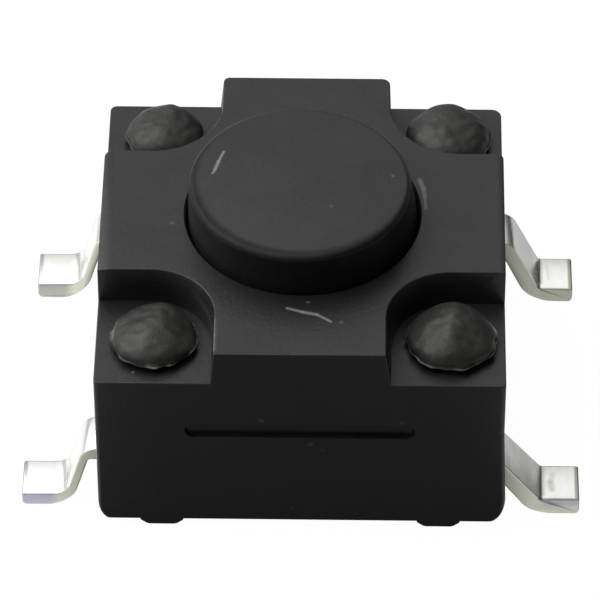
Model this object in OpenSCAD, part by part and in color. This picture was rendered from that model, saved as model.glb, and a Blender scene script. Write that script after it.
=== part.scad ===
// Sealed surface-mount tactile switch.
// The base is moulded round two stamped contacts. A snap dome lies over them, under
// a silicone seal, and the cover is held down by four posts of the base whose heads
// are formed over its corners. The button is caught under the cover's roof.
// Origin: on the board, below the button's axis. The front is -Y, the leads run along X.

/* [Housing] */
// Width of the housing, left to right
body_w = 6; // [5.8:0.1:8]
// Depth of the housing, front to back
body_d = 6; // [5.8:0.1:8]
// Gap between the board and the underside of the base
standoff = 0.18; // [0.14:0.01:0.3]
// Height of the base, from its underside to the cover
base_h = 1.81; // [1.7:0.01:2.6]
// Height of the cover at its corners
cover_h = 1.025; // [0.95:0.025:1.6]
// Rise of the cover's cross above its corners
crown_h = 0.61; // [0.5:0.01:0.8]
// Width of each arm of the cross
arm_w = 2.5; // [2.4:0.05:2.7]
// Inside radius of each front corner notch
notch_r = 0.95; // [0.8:0.05:1]
// Inside radius of each rear corner notch
notch_r_back = 1.05; // [0.9:0.05:1.15]
// How much further the left and right arms reach to the back than to the front
arm_back = 0.08; // [0.02:0.01:0.12]
// Width of the bevel on the left edge of the cross, which marks that side
bevel_left = 0.22; // [0.05:0.01:0.25]
// Width of the bevel on the right edge of the cross
bevel_right = 0.11; // [0.05:0.01:0.25]
// Slope of both bevels, from level
bevel_slope = 14; // [5:1:45]
// Rounding of the upright corners
corner_r = 0.07; // [0.03:0.01:0.12]
// Rounding of the lower edges, left and right
lower_edge_r = 0.15; // [0.05:0.01:0.2]

/* [Slot in the joint line] */
// Length of the slot between its round ends
slot_len = 3.1; // [2:0.1:3.4]
// Height of the slot
slot_h = 0.16; // [0.08:0.01:0.2]
// Diameter of its round ends
slot_end_d = 0.25; // [0.21:0.01:0.3]
// Depth of the slot into the wall
slot_depth = 0.12; // [0.06:0.01:0.35]

/* [Posts and feet] */
// Diameter of each post that passes through the cover
post_d = 0.8; // [0.6:0.05:0.9]
// Clearance of a post in its hole, on the radius
post_gap = 0.02; // [0.01:0.01:0.05]
// Diameter of the head formed on each post
head_d = 1.3; // [1.1:0.02:1.36]
// Height of the head above the cover's corner
head_h = 0.5; // [0.4:0.01:0.62]
// Height of the undercut below the head's rim
head_lift = 0.1; // [0.05:0.01:0.18]
// Width of the undercut below the head's rim
head_undercut = 0.13; // [0.05:0.01:0.16]
// Diameter of each foot pad where it joins the base; the front or back face cuts it flush
pad_d = 0.66; // [0.5:0.02:0.8]
// Diameter of each foot pad at its tip
pad_tip_d = 0.46; // [0.3:0.02:0.48]
// Height of each foot pad
pad_h = 0.12; // [0.04:0.01:0.13]
// Distance of each pad's middle from the left or right face
pad_side_inset = 0.94; // [0.5:0.02:1.4]
// Distance of each pad's middle from the front or back face
pad_inset = 0.1; // [0.05:0.01:0.6]

/* [Button] */
// Diameter of the button
button_d = 3.4; // [2.8:0.1:3.4]
// Height of the button above the cross
button_rise = 0.705; // [0.4:0.005:3]
// Rounding of the button's top edge
button_edge_r = 0.2; // [0.05:0.01:0.3]
// Running clearance round the button, on the radius
button_gap = 0.07; // [0.03:0.01:0.09]
// Edge break at the mouth of the button's hole
mouth_break = 0.05; // [0.02:0.01:0.12]
// Travel of the button
travel = 0.25; // [0.15:0.01:0.25]
// How far the flange stands out past the button, on the radius
flange_lip = 0.18; // [0.16:0.01:0.22]
// Thickness of the flange
flange_t = 0.3; // [0.2:0.01:0.3]
// Thickness of the roof above the flange
roof_t = 0.61; // [0.4:0.01:0.65]
// Diameter of the nose below the flange
nose_d = 1.8; // [1.2:0.1:1.8]
// Length of the nose
nose_len = 0.26; // [0.2:0.01:0.26]

/* [Seal and dome] */
// Thickness of the seal's rim
rim_t = 0.2; // [0.12:0.01:0.22]
// Width of the seal's rim that the cover clamps
rim_w = 0.35; // [0.25:0.01:0.36]
// Thickness of the seal's web
web_t = 0.12; // [0.08:0.01:0.14]
// Diameter of the snap dome
dome_d = 4; // [3.6:0.1:4]
// Height of the dome above the contacts, to its top
dome_h = 0.32; // [0.28:0.01:0.34]
// Thickness of the dome
dome_t = 0.07; // [0.04:0.01:0.08]
// Clearance round the dome and the seal, on the radius
nest_gap = 0.06; // [0.02:0.01:0.08]

/* [Contacts] */
// Distance between the front and rear leads
lead_pitch = 4.5; // [4.5:0.05:5]
// Width of a lead
lead_w = 0.7; // [0.5:0.02:0.72]
// Thickness of the contact metal
lead_t = 0.24; // [0.15:0.01:0.24]
// How far each lead stands out past the housing
lead_reach = 1.17; // [1.1:0.01:1.5]
// Height of the metal's underside inside the base, above the board
plate_z = 0.98; // [0.9:0.01:1.02]
// Depth of the metal below the floor that the dome lies on
floor_cover = 0.08; // [0.04:0.01:0.1]
// Width of the tongue under the dome's middle
tongue_w = 0.8; // [0.6:0.05:1]
// Diameter of the contact point on the tongue
point_d = 0.6; // [0.4:0.05:0.6]
// Width of the two arms under the dome's edge
rail_w = 0.5; // [0.4:0.05:0.6]
// Length of the raised stretch of each arm
rail_pad_len = 1.8; // [1.2:0.1:2]

/* [Lead bends] */
// Slope of both left leads, from level
slope_left = 74; // [68:1:80]
// Slope of the front right lead
slope_front_right = 52; // [50:1:80]
// Slope of the rear right lead
slope_rear_right = 65; // [60:1:80]
// Flat length of the left feet
foot_left = 0.48; // [0.4:0.01:0.5]
// Flat length of the front right foot
foot_front_right = 0.54; // [0.4:0.01:0.6]
// Flat length of the rear right foot
foot_rear_right = 0.48; // [0.4:0.01:0.6]
// Inside radius at the heel of the left leads
heel_r_left = 0.24; // [0.1:0.01:0.3]
// Inside radius at the heel of the right leads
heel_r_right = 0.1; // [0.06:0.01:0.2]
// Outside radius at the heel of the left leads
heel_out_left = 0.48; // [0.4:0.01:0.55]
// Outside radius at the heel of the right leads
heel_out_right = 0.55; // [0.34:0.01:0.62]
// Thickness of the left leads between their bends, where they were drawn thinner
neck_left = 0.15; // [0.12:0.01:0.2]
// Inside radius where a lead turns down
shoulder_r = 0.05; // [0.02:0.01:0.1]

/* [Hidden] */
$fn = 64;
// Segments round the dome's large sphere, of which the dome is a small cap
dome_fn = 512;
// Steps along each bend of a lead
bend_steps = 6;
// Extra length that carries a cut past the face it opens
past = 0.1;
// Extra length that roots a piece in the one it stands on
root = 0.1;

// Heights above the board
split_z = standoff + base_h;
ledge_z = split_z + cover_h;
top_z = ledge_z + crown_h;
roof_z = top_z - roof_t;
floor_z = plate_z + lead_t + floor_cover;
rim_z = split_z - rim_t;
nose_z = roof_z - flange_t - nose_len;
slot_z = split_z + slot_h / 2;

// Radii about the button's axis
button_r = button_d / 2;
mouth_r = button_r + button_gap;
flange_r = button_r + flange_lip;
flange_bore_r = flange_r + button_gap;
nest_r = dome_d / 2 + nest_gap;
seal_r = nest_r + rim_w + nest_gap;
seal_room_r = seal_r - rim_w;
boss_r = nose_d / 2;
flange_room_h = flange_t + travel + nest_gap;

// The posts stand at the centres of the notches' round corners
post_x = arm_w / 2 + notch_r;
post_r = post_d / 2;
head_r = head_d / 2;
// Sphere whose cap is the head
cap_h = head_h - head_lift;
cap_r = (head_r * head_r + cap_h * cap_h) / (2 * cap_h);
// Sphere whose cap is the dome
dome_r = dome_d / 2;
dome_ball_r = (dome_r * dome_r + dome_h * dome_h) / (2 * dome_h);
// The rails lie under the dome's edge
rail_x = dome_r - rail_w / 2;

plastic = [0.16, 0.16, 0.16];
tin = [0.86, 0.86, 0.83];
spring_steel = [0.70, 0.70, 0.72];
silicone = [0.55, 0.50, 0.45];

// Points on an arc in a lead's side view
function arc(cx, cz, r, a, b) =
    [for (i = [0:bend_steps]) let (t = a + (b - a) * i / bend_steps) [cx + r * cos(t), cz + r * sin(t)]];
function heel_x(foot) = body_w / 2 + lead_reach - foot;
// Where a lead starts to turn down, so that its slope runs into its heel
function shoulder_x(slope, foot, heel_r) =
    let (drop = plate_z - shoulder_r * (1 - cos(slope)) - lead_t - heel_r + (heel_r + lead_t) * cos(slope))
    heel_x(foot) - (heel_r + lead_t + shoulder_r) * sin(slope) - drop / tan(slope);
// How far the under side's bends move outwards, for a thinner slope and for the heel's own outside radius
function neck_shift(slope, neck) = (lead_t - neck) / sin(slope);
function heel_shift(slope, heel_r, out_r) = (out_r - heel_r - lead_t) * tan(slope / 2);
// A right lead's upper side from the housing to its tip, then its under side back
function lead_upper(slope, foot, heel_r) = concat(
    arc(shoulder_x(slope, foot, heel_r), plate_z - shoulder_r, shoulder_r + lead_t, 90, 90 - slope),
    arc(heel_x(foot), lead_t + heel_r, heel_r, -90 - slope, -90),
    [[heel_x(foot) + foot, lead_t]]);
function lead_under(slope, foot, heel_r, out_r, neck) = concat(
    [[heel_x(foot) + foot, 0]],
    arc(heel_x(foot) + neck_shift(slope, neck) + heel_shift(slope, heel_r, out_r), out_r, out_r, -90, -90 - slope),
    arc(shoulder_x(slope, foot, heel_r) + neck_shift(slope, neck), plate_z - shoulder_r, shoulder_r, 90 - slope, 90));
function to_left(points) = [for (i = [len(points) - 1:-1:0]) [-points[i][0], points[i][1]]];

// A flat plate's outline with rounded corners
module rounded_outline(w, d, r) {
    square([w - 2 * r, d], center = true);
    square([w, d - 2 * r], center = true);
    for (sx = [-1, 1], sy = [-1, 1])
        translate([sx * (w / 2 - r), sy * (d / 2 - r)]) circle(r);
}

// Puts its children at each of four places, mirrored about the middle
module at_corners(x, y, z) {
    for (sx = [-1, 1], sy = [-1, 1])
        translate([sx * x, sy * y, z]) children();
}

// Seen from above, the part of one quarter that the corner notch takes away
module notch_outline(r, further) {
    reach = max(body_w, body_d) / 2 + past - arm_w / 2;
    translate([arm_w / 2, arm_w / 2 + further]) {
        translate([r, r]) circle(r);
        translate([r, 0]) square(reach);
        translate([0, r]) square(reach);
    }
}

module cross_outline() {
    difference() {
        rounded_outline(body_w, body_d, corner_r);
        for (sx = [0, 1]) mirror([sx, 0]) {
            notch_outline(notch_r_back, arm_back);
            mirror([0, 1]) notch_outline(notch_r, 0);
        }
    }
}

// Slot with round ends across the joint line, cut in from the front and the back
module joint_slots() {
    for (turn = [0, 180])
        rotate([0, 0, turn]) translate([0, -body_d / 2 + slot_depth, slot_z])
            rotate([90, 0, 0]) linear_extrude(slot_depth + past) {
                square([slot_len, slot_h], center = true);
                for (side = [-1, 1]) translate([side * slot_len / 2, 0]) circle(d = slot_end_d);
            }
}

// Front view of the base, with its lower left and right edges rounded
module base_front() {
    translate([-body_w / 2, standoff + lower_edge_r]) square([body_w, base_h - lower_edge_r]);
    translate([-body_w / 2 + lower_edge_r, standoff]) square([body_w - 2 * lower_edge_r, base_h]);
    for (side = [-1, 1])
        translate([side * (body_w / 2 - lower_edge_r), standoff + lower_edge_r]) circle(lower_edge_r);
}

module foot_pad() {
    cylinder(h = pad_h, d1 = pad_tip_d, d2 = pad_d);
    translate([0, 0, pad_h]) cylinder(h = root, d = pad_d);
}

// One post with the head that holds the cover down
module post() {
    translate([0, 0, -root]) cylinder(h = cover_h + head_lift + 2 * root, r = post_r);
    translate([0, 0, cover_h]) rotate_extrude() {
        polygon([[0, 0], [head_r - head_undercut, 0], [head_r, head_lift], [0, head_lift]]);
        intersection() {
            translate([0, head_h - cap_r]) circle(cap_r);
            translate([0, head_lift]) square([head_r, cap_h]);
        }
    }
}

// The strip that forms two leads and the bar between them
module lead_strip(slope_right, foot_right) {
    rotate([90, 0, 0]) linear_extrude(lead_w, center = true)
        polygon(concat(
            to_left(lead_upper(slope_left, foot_left, heel_r_left)),
            lead_upper(slope_right, foot_right, heel_r_right),
            lead_under(slope_right, foot_right, heel_r_right, heel_out_right, lead_t),
            to_left(lead_under(slope_left, foot_left, heel_r_left, heel_out_left, neck_left))));
}

module contact_centre_shape() {
    translate([0, -lead_pitch / 2, 0]) lead_strip(slope_front_right, foot_front_right);
    translate([0, 0, plate_z]) linear_extrude(lead_t) {
        translate([-tongue_w / 2, -lead_pitch / 2]) square([tongue_w, lead_pitch / 2]);
        circle(tongue_w / 2);
    }
    translate([0, 0, plate_z]) cylinder(h = lead_t + floor_cover, d = point_d);
}

module contact_outer_shape() {
    translate([0, lead_pitch / 2, 0]) lead_strip(slope_rear_right, foot_rear_right);
    for (side = [-1, 1])
        translate([side * rail_x - rail_w / 2, -rail_pad_len / 2, plate_z]) {
            cube([rail_w, (rail_pad_len + lead_pitch) / 2, lead_t]);
            cube([rail_w, rail_pad_len, lead_t + floor_cover]);
        }
}

// What a bevel takes off the left or right end of the cross
module edge_bevel(side, size) {
    fall = (size + past) * tan(bevel_slope);
    translate([side * body_w / 2, 0, top_z]) rotate([90, 0, 0])
        linear_extrude(body_d + past, center = true)
            polygon([[-side * size, 0], [side * past, -fall], [side * past, past], [-side * size, past]]);
}

module base() {
    color(plastic) {
        difference() {
            union() {
                intersection() {
                    translate([0, 0, standoff]) linear_extrude(base_h)
                        rounded_outline(body_w, body_d, corner_r);
                    rotate([90, 0, 0]) linear_extrude(body_d + past, center = true) base_front();
                }
                intersection() {
                    at_corners(body_w / 2 - pad_side_inset, body_d / 2 - pad_inset, standoff - pad_h) foot_pad();
                    linear_extrude(split_z) rounded_outline(body_w, body_d, corner_r);
                }
            }
            // The pocket that the dome snaps in, and the seat of the seal's rim
            translate([0, 0, floor_z]) cylinder(h = base_h, r = nest_r);
            translate([0, 0, rim_z]) cylinder(h = base_h, r = seal_r);
            joint_slots();
            contact_centre_shape();
            contact_outer_shape();
        }
        at_corners(post_x, post_x, split_z) post();
    }
}

module cover() {
    color(plastic) difference() {
        union() {
            translate([0, 0, split_z]) linear_extrude(cover_h) rounded_outline(body_w, body_d, corner_r);
            translate([0, 0, split_z]) linear_extrude(cover_h + crown_h) cross_outline();
        }
        // Button hole with its broken edge, the flange's bore, and room for the seal
        translate([0, 0, split_z]) {
            cylinder(h = top_z - split_z + past, r = mouth_r);
            cylinder(h = roof_z - split_z, r = flange_bore_r);
        }
        translate([0, 0, top_z - mouth_break])
            cylinder(h = mouth_break + past, r1 = mouth_r, r2 = mouth_r + mouth_break + past);
        translate([0, 0, split_z - past])
            cylinder(h = roof_z - flange_room_h - split_z + past, r = seal_room_r);
        at_corners(post_x, post_x, split_z - past)
            cylinder(h = cover_h + 2 * past, r = post_r + post_gap);
        joint_slots();
        edge_bevel(-1, bevel_left);
        edge_bevel(1, bevel_right);
    }
}

module button() {
    color(plastic) {
        translate([0, 0, roof_z]) rotate_extrude() {
            head_len = roof_t + button_rise;
            square([button_r, head_len - button_edge_r]);
            square([button_r - button_edge_r, head_len]);
            translate([button_r - button_edge_r, head_len - button_edge_r]) circle(button_edge_r);
        }
        translate([0, 0, roof_z - flange_t]) cylinder(h = flange_t, r = flange_r);
        translate([0, 0, nose_z]) cylinder(h = nose_len + flange_t + root, r = boss_r);
    }
}

// Rim held between the halves, a conical web, and a boss from the dome to the button
module seal() {
    boss_z = floor_z + dome_h;
    web_z = (nose_z + split_z) / 2;
    color(silicone) rotate_extrude() {
        translate([nest_r, rim_z]) square([rim_w + nest_gap / 2, rim_t]);
        translate([0, boss_z]) square([boss_r, nose_z - boss_z]);
        polygon([[seal_room_r, split_z - web_t], [seal_room_r, split_z], [boss_r, web_z],
            [boss_r - web_t, web_z], [boss_r - web_t, web_z - web_t], [boss_r, web_z - web_t]]);
    }
}

module dome() {
    color(spring_steel) rotate_extrude() intersection() {
        translate([0, floor_z + dome_h - dome_ball_r]) difference() {
            circle(dome_ball_r, $fn = dome_fn);
            circle(dome_ball_r - dome_t, $fn = dome_fn);
        }
        translate([0, floor_z]) square([dome_r, dome_h]);
    }
}

module contact_centre() { color(tin) contact_centre_shape(); }

module contact_outer() { color(tin) contact_outer_shape(); }

base();
cover();
button();
seal();
dome();
contact_centre();
contact_outer();
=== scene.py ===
# Sealed surface-mount tactile switch: the visible pieces, their finishes, the light and the camera.
# Meshes are drawn in millimetres and brought to metres when a piece is finished.
import math
import bpy
import bmesh
from mathutils import Matrix, Vector, noise


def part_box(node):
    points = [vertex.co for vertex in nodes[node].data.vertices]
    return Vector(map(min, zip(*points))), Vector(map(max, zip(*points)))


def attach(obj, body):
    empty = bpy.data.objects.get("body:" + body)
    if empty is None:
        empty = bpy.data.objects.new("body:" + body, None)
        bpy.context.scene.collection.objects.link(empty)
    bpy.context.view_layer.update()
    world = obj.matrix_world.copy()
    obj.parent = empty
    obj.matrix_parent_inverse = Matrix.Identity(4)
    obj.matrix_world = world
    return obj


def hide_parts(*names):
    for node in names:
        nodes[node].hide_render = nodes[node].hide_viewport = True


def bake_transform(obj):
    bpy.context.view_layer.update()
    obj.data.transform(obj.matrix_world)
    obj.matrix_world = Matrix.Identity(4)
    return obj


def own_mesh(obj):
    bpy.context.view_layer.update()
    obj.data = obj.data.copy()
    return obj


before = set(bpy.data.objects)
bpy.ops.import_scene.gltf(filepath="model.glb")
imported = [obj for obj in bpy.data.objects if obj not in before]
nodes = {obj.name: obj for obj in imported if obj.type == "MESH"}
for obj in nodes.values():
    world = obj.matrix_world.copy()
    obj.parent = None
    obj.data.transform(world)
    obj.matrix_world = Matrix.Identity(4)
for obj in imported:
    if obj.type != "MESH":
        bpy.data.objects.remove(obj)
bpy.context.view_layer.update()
mm = 0.001
level = 1e-3  # points nearer to a plane than this, in millimetres, count as lying on it
close = 1e-4  # the same, where points lie tighter


def nodeBox(name):  # lowest and highest corner of a solid, in millimetres
    low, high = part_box(name)
    return Vector(low) / mm, Vector(high) / mm


def asObject(bm, name):
    bmesh.ops.recalc_face_normals(bm, faces=bm.faces)
    mesh = bpy.data.meshes.new(name)
    bm.to_mesh(mesh)
    bm.free()
    made = bpy.data.objects.new(name, mesh)
    bpy.context.scene.collection.objects.link(made)
    return made


def combine(target, tool, operation):  # cuts a helper shape out of a piece, or joins it on
    step = target.modifiers.new("combine", "BOOLEAN")
    step.operation = operation
    step.solver = "EXACT"
    step.object = tool
    view = bpy.context.evaluated_depsgraph_get()
    view.update()
    shaped = bpy.data.meshes.new_from_object(target.evaluated_get(view))
    target.modifiers.clear()
    old = target.data
    target.data = shaped
    bpy.data.meshes.remove(old)
    bpy.data.meshes.remove(tool.data)


def spun(points, steps):  # a round body from its half outline, which starts and ends on the axis
    bm = bmesh.new()
    rail = [bm.verts.new((x, 0, z)) for x, z in points]
    edges = [bm.edges.new(pair) for pair in zip(rail, rail[1:])]
    bmesh.ops.spin(bm, geom=rail + edges, cent=(0, 0, 0), axis=(0, 0, 1), angle=2 * math.pi,
                   steps=steps, use_merge=True, use_duplicate=False)
    bmesh.ops.remove_doubles(bm, verts=bm.verts, dist=1e-5)
    bmesh.ops.recalc_face_normals(bm, faces=bm.faces)
    return bm


def bevelEdges(bm, edges, width, segments):
    bmesh.ops.bevel(bm, geom=list(edges), offset=width, offset_type="OFFSET", segments=segments,
                    profile=0.5, affect="EDGES", clamp_overlap=True, material=-1)


def ringEdges(bm, radius, z, slack=0.005):  # edges of one ring of a round body
    return [e for e in bm.edges
            if all(abs(v.co.z - z) < slack and abs(v.co.xy.length - radius) < slack for v in e.verts)]


def outerEdges(bm, degrees, spareHeight=None):  # sharp edges that stand out, but not those at spareHeight
    return [e for e in bm.edges if len(e.link_faces) == 2 and e.is_convex
            and e.calc_face_angle(0) > math.radians(degrees)
            and not (spareHeight is not None and all(abs(v.co.z - spareHeight) < level for v in e.verts))]


def bevelCorners(bm, corners, width, segments):
    bmesh.ops.bevel(bm, geom=corners, offset=width, offset_type="OFFSET", segments=segments,
                    profile=0.5, affect="VERTICES", material=-1)


def vertsOf(made):
    return [v for v in made["geom"] if isinstance(v, bmesh.types.BMVert)]


def finishPiece(piece, body, material, replaced=(), softAngle=35):
    piece.data.transform(Matrix.Scale(mm, 4))
    piece.data.materials.clear()
    piece.data.materials.append(material)
    for face in piece.data.polygons:
        face.use_smooth = True
    piece.data.set_sharp_from_angle(angle=math.radians(softAngle))
    shading = piece.modifiers.new("evenShading", "WEIGHTED_NORMAL")
    shading.keep_sharp = True
    if body:
        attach(piece, body)
    if replaced:
        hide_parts(*replaced)
    return piece


def feed(tree, socket, value):
    if isinstance(value, bpy.types.NodeSocket):
        tree.links.new(value, socket)
    elif value is not None:
        socket.default_value = value


def addNode(tree, kind, sockets=None, **settings):
    made = tree.nodes.new(kind)
    for name, value in settings.items():
        setattr(made, name, value)
    for label, value in (sockets or {}).items():
        feed(tree, made.inputs[label], value)
    return made


def mathNode(tree, operation, a, b=None, clamp=False):
    return addNode(tree, "ShaderNodeMath", {0: a, 1: b}, operation=operation, use_clamp=clamp).outputs[0]


def vectorNode(tree, operation, a, b=None, scale=None):
    made = addNode(tree, "ShaderNodeVectorMath", {0: a, 1: b}, operation=operation)
    if scale is not None:
        feed(tree, made.inputs["Scale"], scale)
    return made.outputs["Value"] if operation in ("DOT_PRODUCT", "LENGTH") else made.outputs["Vector"]


def mixColour(tree, amount, a, b):
    made = addNode(tree, "ShaderNodeMix", data_type="RGBA")
    feed(tree, made.inputs[0], amount)
    feed(tree, made.inputs[6], a)
    feed(tree, made.inputs[7], b)
    return made.outputs[2]


def rangeNode(tree, value, fromLow, fromHigh, toLow, toHigh, smooth=False):
    made = addNode(tree, "ShaderNodeMapRange", {"Value": value, "From Min": fromLow, "From Max": fromHigh,
                                                "To Min": toLow, "To Max": toHigh})
    made.interpolation_type = "SMOOTHSTEP" if smooth else "LINEAR"
    return made.outputs["Result"]


def rampNode(tree, value, span, smooth=False):  # rises from 0 to 1 over a span given in millimetres
    return rangeNode(tree, value, span[0] * mm, span[1] * mm, 0.0, 1.0, smooth)


def noiseNode(tree, place, scale, detail, roughness):
    return addNode(tree, "ShaderNodeTexNoise", {"Vector": place, "Scale": scale, "Detail": detail,
                                                "Roughness": roughness}).outputs["Fac"]


def coordinates(tree, kind):
    return addNode(tree, "ShaderNodeTexCoord").outputs[kind]


def splitVector(tree, vector):
    return addNode(tree, "ShaderNodeSeparateXYZ", {"Vector": vector}).outputs


def newGroup(name, inputs, outputs):
    group = bpy.data.node_groups.new(name, "ShaderNodeTree")
    for label, kind in inputs:
        group.interface.new_socket(name=label, in_out="INPUT", socket_type=kind)
    for label, kind in outputs:
        group.interface.new_socket(name=label, in_out="OUTPUT", socket_type=kind)
    return group, group.nodes.new("NodeGroupInput").outputs, group.nodes.new("NodeGroupOutput").inputs


def placeGroup(tree, group, sockets):
    return addNode(tree, "ShaderNodeGroup", sockets, node_tree=group).outputs


def makeMouldGrain():  # fine matt skin of moulded plastic: a height for the bump and a tone that drifts
    group, inside, out = newGroup("mouldGrain",
        [("Position", "NodeSocketVector"), ("Grain Scale", "NodeSocketFloat"),
         ("Drift Scale", "NodeSocketFloat")],
        [("Height", "NodeSocketFloat"), ("Tone", "NodeSocketFloat")])
    fine = noiseNode(group, inside["Position"], inside["Grain Scale"], 3.0, 0.6)
    drift = noiseNode(group, inside["Position"], inside["Drift Scale"], 4.0, 0.55)
    fineShare = 0.45
    feed(group, out["Height"], fine)
    tone = mathNode(group, "ADD", mathNode(group, "MULTIPLY", fine, fineShare),
                    mathNode(group, "MULTIPLY", drift, 1 - fineShare))
    feed(group, out["Tone"], tone)
    return group


def makeSurfaceMark():  # a straight scratch, hair or speck, or a band of painted shade or highlight, between two points, as a soft mask
    group, inside, out = newGroup("surfaceMark",
        [("Position", "NodeSocketVector"), ("Start", "NodeSocketVector"), ("End", "NodeSocketVector"),
         ("Width", "NodeSocketFloat")],
        [("Mask", "NodeSocketFloat")])
    along = vectorNode(group, "SUBTRACT", inside["End"], inside["Start"])
    away = vectorNode(group, "SUBTRACT", inside["Position"], inside["Start"])
    share = mathNode(group, "DIVIDE", vectorNode(group, "DOT_PRODUCT", away, along),
                     vectorNode(group, "DOT_PRODUCT", along, along), clamp=True)
    nearest = vectorNode(group, "SCALE", along, scale=share)
    gap = vectorNode(group, "LENGTH", vectorNode(group, "SUBTRACT", away, nearest))
    ratio = mathNode(group, "DIVIDE", gap, inside["Width"])
    feed(group, out["Mask"], rangeNode(group, ratio, 0.0, 1.0, 1.0, 0.0, smooth=True))
    return group


mouldGrain = makeMouldGrain()
surfaceMark = makeSurfaceMark()
noiseSpan = (0.3, 0.7)  # a noise seldom leaves this span


def newMaterial(name):
    material = bpy.data.materials.new(name)
    material.use_nodes = True
    tree = material.node_tree
    tree.nodes.clear()
    shader = addNode(tree, "ShaderNodeBsdfPrincipled")
    output = addNode(tree, "ShaderNodeOutputMaterial")
    tree.links.new(shader.outputs[0], output.inputs["Surface"])
    return material, tree, shader.inputs, coordinates(tree, "Object")


def addBump(tree, shader, height, finish):
    bump = addNode(tree, "ShaderNodeBump", {"Height": height, "Strength": finish["bump"],
                                            "Distance": finish["bumpDepth"] * mm})
    feed(tree, shader["Normal"], bump.outputs[0])


def makePlastic(name, finish, marks=(), dullRim=None):
    material, tree, shader, place = newMaterial(name)
    grain = placeGroup(tree, mouldGrain, {"Position": place, "Grain Scale": finish["grainScale"],
                                          "Drift Scale": finish["driftScale"]})
    tone = rangeNode(tree, grain["Tone"], *noiseSpan, 0.0, 1.0)
    colour = mixColour(tree, tone, finish["dark"], finish["pale"])
    feed(tree, shader["Base Color"], addMarks(tree, place, colour, marks))
    rough = rangeNode(tree, grain["Tone"], *noiseSpan, finish["roughDark"], finish["roughPale"])
    feed(tree, shader["Roughness"], rough)
    shader["Specular IOR Level"].default_value = finish["specular"]
    if dullRim:
        reach = vectorNode(tree, "LENGTH", vectorNode(tree, "MULTIPLY", place, (1.0, 1.0, 0.0)))
        shine = rangeNode(tree, reach, dullRim["from"] * mm, dullRim["to"] * mm, finish["specular"],
                          dullRim["specular"], smooth=True)
        feed(tree, shader["Specular IOR Level"], shine)
    addBump(tree, shader, grain["Height"], finish)
    return material


housingFinish = {"dark": (0.020, 0.020, 0.0205, 1), "pale": (0.038, 0.038, 0.038, 1), "grainScale": 14000.0,
                 "driftScale": 1500.0, "roughDark": 0.40, "roughPale": 0.26, "specular": 0.36,
                 "bump": 0.4, "bumpDepth": 0.01}
buttonFinish = {"dark": (0.020, 0.020, 0.020, 1), "pale": (0.036, 0.036, 0.036, 1), "grainScale": 15000.0,
                "driftScale": 1700.0, "roughDark": 0.44, "roughPale": 0.31, "specular": 0.36,
                "bump": 0.4, "bumpDepth": 0.01}
headFinish = {"dark": (0.026, 0.026, 0.024, 1), "pale": (0.060, 0.060, 0.054, 1), "grainScale": 7000.0,
              "driftScale": 3500.0, "roughDark": 0.52, "roughPale": 0.38, "specular": 0.36,
              "bump": 0.6, "bumpDepth": 0.02}
sealFinish = {"dark": (0.30, 0.27, 0.24, 1), "pale": (0.42, 0.38, 0.34, 1), "grainScale": 6000.0,
              "driftScale": 900.0, "roughDark": 0.5, "roughPale": 0.4, "specular": 0.5,
              "bump": 0.2, "bumpDepth": 0.01}
tinFinish = {"dark": (0.88, 0.88, 0.84, 1), "pale": (0.98, 0.98, 0.95, 1), "roughDark": 0.36,
             "roughPale": 0.2, "drawScale": 2200.0, "bump": 0.25, "bumpDepth": 0.006}
leadTrim = {  # cut edges, and rims darkened as painted shade; the spans are in millimetres, apart from cutFacing
    "row": 2.25, "foot": (3.6, 3.75), "cutFacing": (0.5, 0.85), "cutUpper": (0.11, 0.17), "cutRough": 0.55,
    "cutLavender": (0.66, 0.66, 0.77, 1), "cutOlive": (0.86, 0.86, 0.74, 1),
    "cutRearLeft": (0.56, 0.57, 0.52, 1),
    "rim": (0.31, 0.345), "rimTop": 0.3, "tip": (4.09, 4.12),
    "rimLeft": (0.50, 0.50, 0.56, 1), "rimRight": (0.42, 0.42, 0.36, 1),
}
steelFinish = {"dark": (0.55, 0.55, 0.57, 1), "pale": (0.72, 0.72, 0.73, 1), "roughDark": 0.34,
               "roughPale": 0.22, "drawScale": 2600.0, "bump": 0.15, "bumpDepth": 0.004}


def speck(x, y, z, width, strength, colour):
    return {"start": (x, y, z), "end": (x, y, z), "width": width, "strength": strength, "colour": colour}


def streak(points, widths, strength, colour):  # a run of short marks, one after the other
    return [{"start": a, "end": b, "width": width, "strength": strength, "colour": colour}
            for a, b, width in zip(points, points[1:], widths)]


paintedCreaseShade = (  # painted shade in the bends at the right heels, darker where the slope meets the foot
    streak([(3.60, -2.5, 0.25), (3.60, -2.0, 0.25)], (0.1,), 0.7, (0.33, 0.31, 0.28, 1))
    + streak([(3.76, -2.4, 0.24), (3.74, -2.25, 0.24)], (0.09,), 0.5, (0.4, 0.39, 0.36, 1))
    + streak([(3.74, -2.25, 0.24), (3.78, -2.08, 0.24)], (0.08,), 0.4, (0.45, 0.44, 0.42, 1))
    + streak([(3.66, 2.05, 0.25), (3.66, 2.5, 0.25)], (0.08,), 0.7, (0.28, 0.26, 0.23, 1))
    + streak([(3.80, 2.12, 0.24), (3.78, 2.42, 0.24)], (0.03,), 0.3, (0.4, 0.4, 0.4, 1)))


def addMarks(tree, place, colour, marks):
    for mark in marks:
        mask = placeGroup(tree, surfaceMark, {"Position": place, "Start": Vector(mark["start"]) * mm,
                          "End": Vector(mark["end"]) * mm, "Width": mark["width"] * mm})["Mask"]
        colour = mixColour(tree, mathNode(tree, "MULTIPLY", mask, mark["strength"]), colour, mark["colour"])
    return colour


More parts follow.
